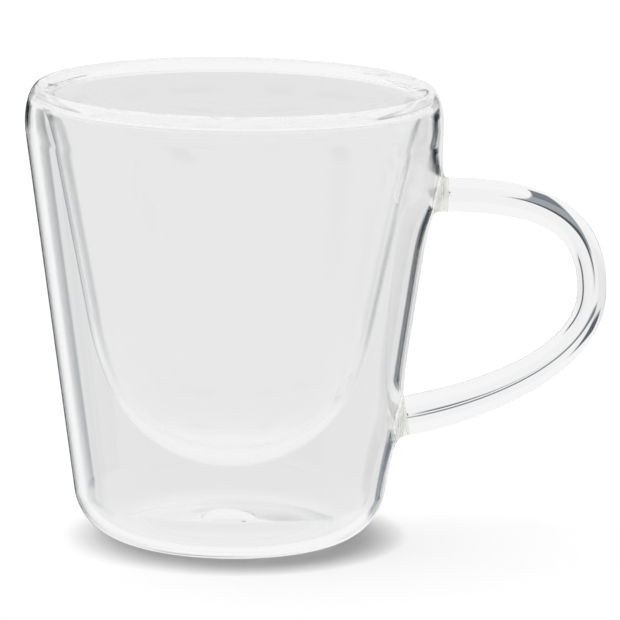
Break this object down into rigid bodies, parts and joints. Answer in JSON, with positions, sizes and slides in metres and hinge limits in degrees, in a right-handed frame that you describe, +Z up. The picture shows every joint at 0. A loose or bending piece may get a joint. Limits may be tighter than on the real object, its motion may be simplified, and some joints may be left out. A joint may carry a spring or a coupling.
{
  "type": "double walled glass cup",
  "caption": "Small double walled glass cup with a tapered outer wall, a round bottomed bowl held off it by an air gap, and a welded rod handle.",
  "frame": {"origin": "centre of the base ring on the table, on the cup's axis", "axes": "+Z up along the cup's axis, +X towards the handle"},
  "size_m": [0.0924, 0.066, 0.0723],
  "materials": {
    "wall_glass": "clear, fire polished",
    "handle_glass": "clear, fire polished",
    "weld_glass": "clear with a faint green tint, fire polished"
  },
  "bodies": {
    "root": {"outer_wall": "wall_glass", "inner_wall": "wall_glass", "rim": "wall_glass", "vent_seal": "wall_glass", "handle": "handle_glass", "upper_weld": "weld_glass", "lower_weld": "weld_glass"}
  },
  "joints": []
}
